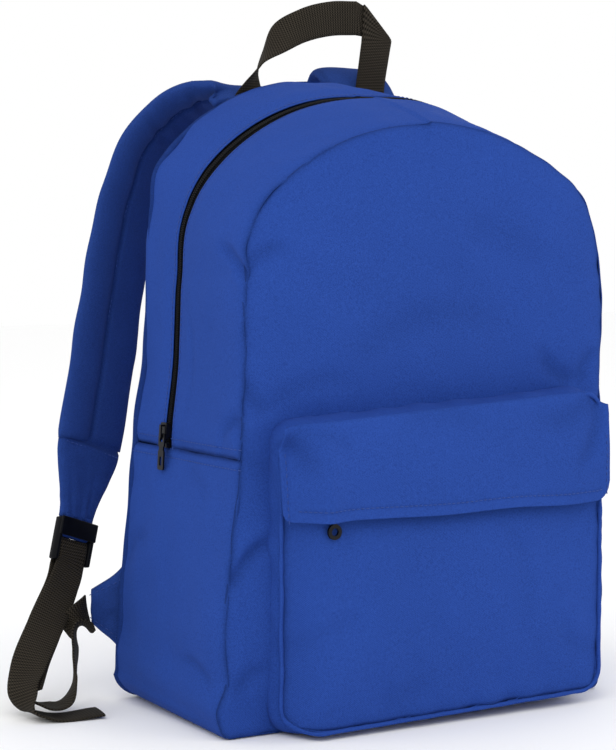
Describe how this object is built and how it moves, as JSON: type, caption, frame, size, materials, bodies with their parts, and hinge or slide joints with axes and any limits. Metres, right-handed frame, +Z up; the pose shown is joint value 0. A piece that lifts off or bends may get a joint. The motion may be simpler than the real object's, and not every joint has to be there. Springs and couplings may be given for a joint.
{
  "type": "school backpack",
  "caption": "Upright fabric daypack with an arched zipped main compartment, a zipped front pocket under a rain flap, a haul loop and padded adjustable shoulder straps.",
  "frame": {"origin": "centre of the base, on the surface that the bag stands on", "axes": "+Z up, -Y out of the front with the pocket, +Y towards the wearer, -X the side where the main slider is parked"},
  "size_m": [0.4924, 0.271, 0.494],
  "materials": {
    "bag_fabric": "royal blue plain-weave polyester, coated inside, low sheen",
    "strap_fabric": "the same blue polyester over the strap foam and on the wings",
    "webbing": "black-brown woven webbing, 25 mm",
    "zip_tape": "black knitted zipper tape",
    "zip_coil": "black nylon coil",
    "zip_metal": "black enamelled die-cast zinc",
    "buckle_plastic": "black moulded acetal",
    "foam": "closed-cell foam sheet",
    "lining": "thin blue lining cloth over the back foam",
    "binding": "black seam binding tape"
  },
  "bodies": {
    "root": {"back_foam": "foam", "back_lining": "lining", "back_panel": "bag_fabric", "back_seam_binding": "binding", "base_panel": "bag_fabric", "front_gusset": "bag_fabric", "front_panel": "bag_fabric", "front_seam_binding": "binding", "haul_loop_feet": "webbing", "main_zip_coil_front": "zip_coil", "main_zip_coil_rear": "zip_coil", "main_zip_stops": "zip_metal", "main_zip_tape_front": "zip_tape", "main_zip_tape_rear": "zip_tape", "pocket_front_lower": "bag_fabric", "pocket_front_upper": "bag_fabric", "pocket_gusset": "bag_fabric", "pocket_piping": "bag_fabric", "pocket_zip_coil_lower": "zip_coil", "pocket_zip_coil_upper": "zip_coil", "pocket_zip_stops": "zip_metal", "pocket_zip_tape_lower": "zip_tape", "pocket_zip_tape_upper": "zip_tape", "rear_gusset": "bag_fabric", "side_panel_left": "bag_fabric", "side_panel_right": "bag_fabric", "webbing_return_left": "webbing", "webbing_return_right": "webbing", "wing_left": "strap_fabric", "wing_right": "strap_fabric"},
    "main_slider": {"main_zip_slider": "zip_metal"},
    "main_puller": {"main_zip_puller": "zip_metal"},
    "pocket_slider": {"pocket_zip_slider": "zip_metal"},
    "pocket_puller": {"pocket_zip_puller": "zip_metal"},
    "pocket_flap": {"pocket_flap": "bag_fabric"},
    "haul_loop": {"haul_loop": "webbing"},
    "strap_left": {"ladder_lock_left": "buckle_plastic", "ladder_lock_tab_left": "strap_fabric", "strap_cover_left": "strap_fabric", "strap_end_left": "strap_fabric", "strap_foam_left": "foam", "strap_lining_left": "strap_fabric", "webbing_left": "webbing"},
    "strap_right": {"ladder_lock_right": "buckle_plastic", "ladder_lock_tab_right": "strap_fabric", "strap_cover_right": "strap_fabric", "strap_end_right": "strap_fabric", "strap_foam_right": "foam", "strap_lining_right": "strap_fabric", "webbing_right": "webbing"}
  },
  "joints": [
    {"name": "main_slide", "type": "slide", "parent": "root", "child": "main_slider", "axis": [0.0548, 0, 0.9985], "range_m": [0, 0.115]},
    {"name": "main_puller_swing", "type": "hinge", "parent": "main_slider", "child": "main_puller", "pos_m": [-0.14979, 0.022, 0.18899], "axis": [0, 1, 0], "range_deg": [0, 140]},
    {"name": "pocket_slide", "type": "slide", "parent": "root", "child": "pocket_slider", "axis": [1, 0, 0], "range_m": [0, 0.192]},
    {"name": "pocket_puller_swing", "type": "hinge", "parent": "pocket_slider", "child": "pocket_puller", "pos_m": [-0.097, -0.1129, 0.152], "axis": [0, 1, 0], "range_deg": [-35, 35]},
    {"name": "flap_lift", "type": "hinge", "parent": "root", "child": "pocket_flap", "pos_m": [0, -0.11, 0.211], "axis": [-1, 0, 0], "range_deg": [0, 60]},
    {"name": "haul_loop_fold", "type": "hinge", "parent": "root", "child": "haul_loop", "pos_m": [0, 0.0762, 0.433], "axis": [1, 0, 0], "range_deg": [-30, 60], "stiffness_Nm_per_rad": 0.05},
    {"name": "strap_left_lift", "type": "hinge", "parent": "root", "child": "strap_left", "pos_m": [-0.05, 0.082, 0.426], "axis": [1, 0, 0], "range_deg": [0, 15]},
    {"name": "strap_right_lift", "type": "hinge", "parent": "root", "child": "strap_right", "pos_m": [0.05, 0.082, 0.426], "axis": [1, 0, 0], "range_deg": [0, 15]}
  ]
}
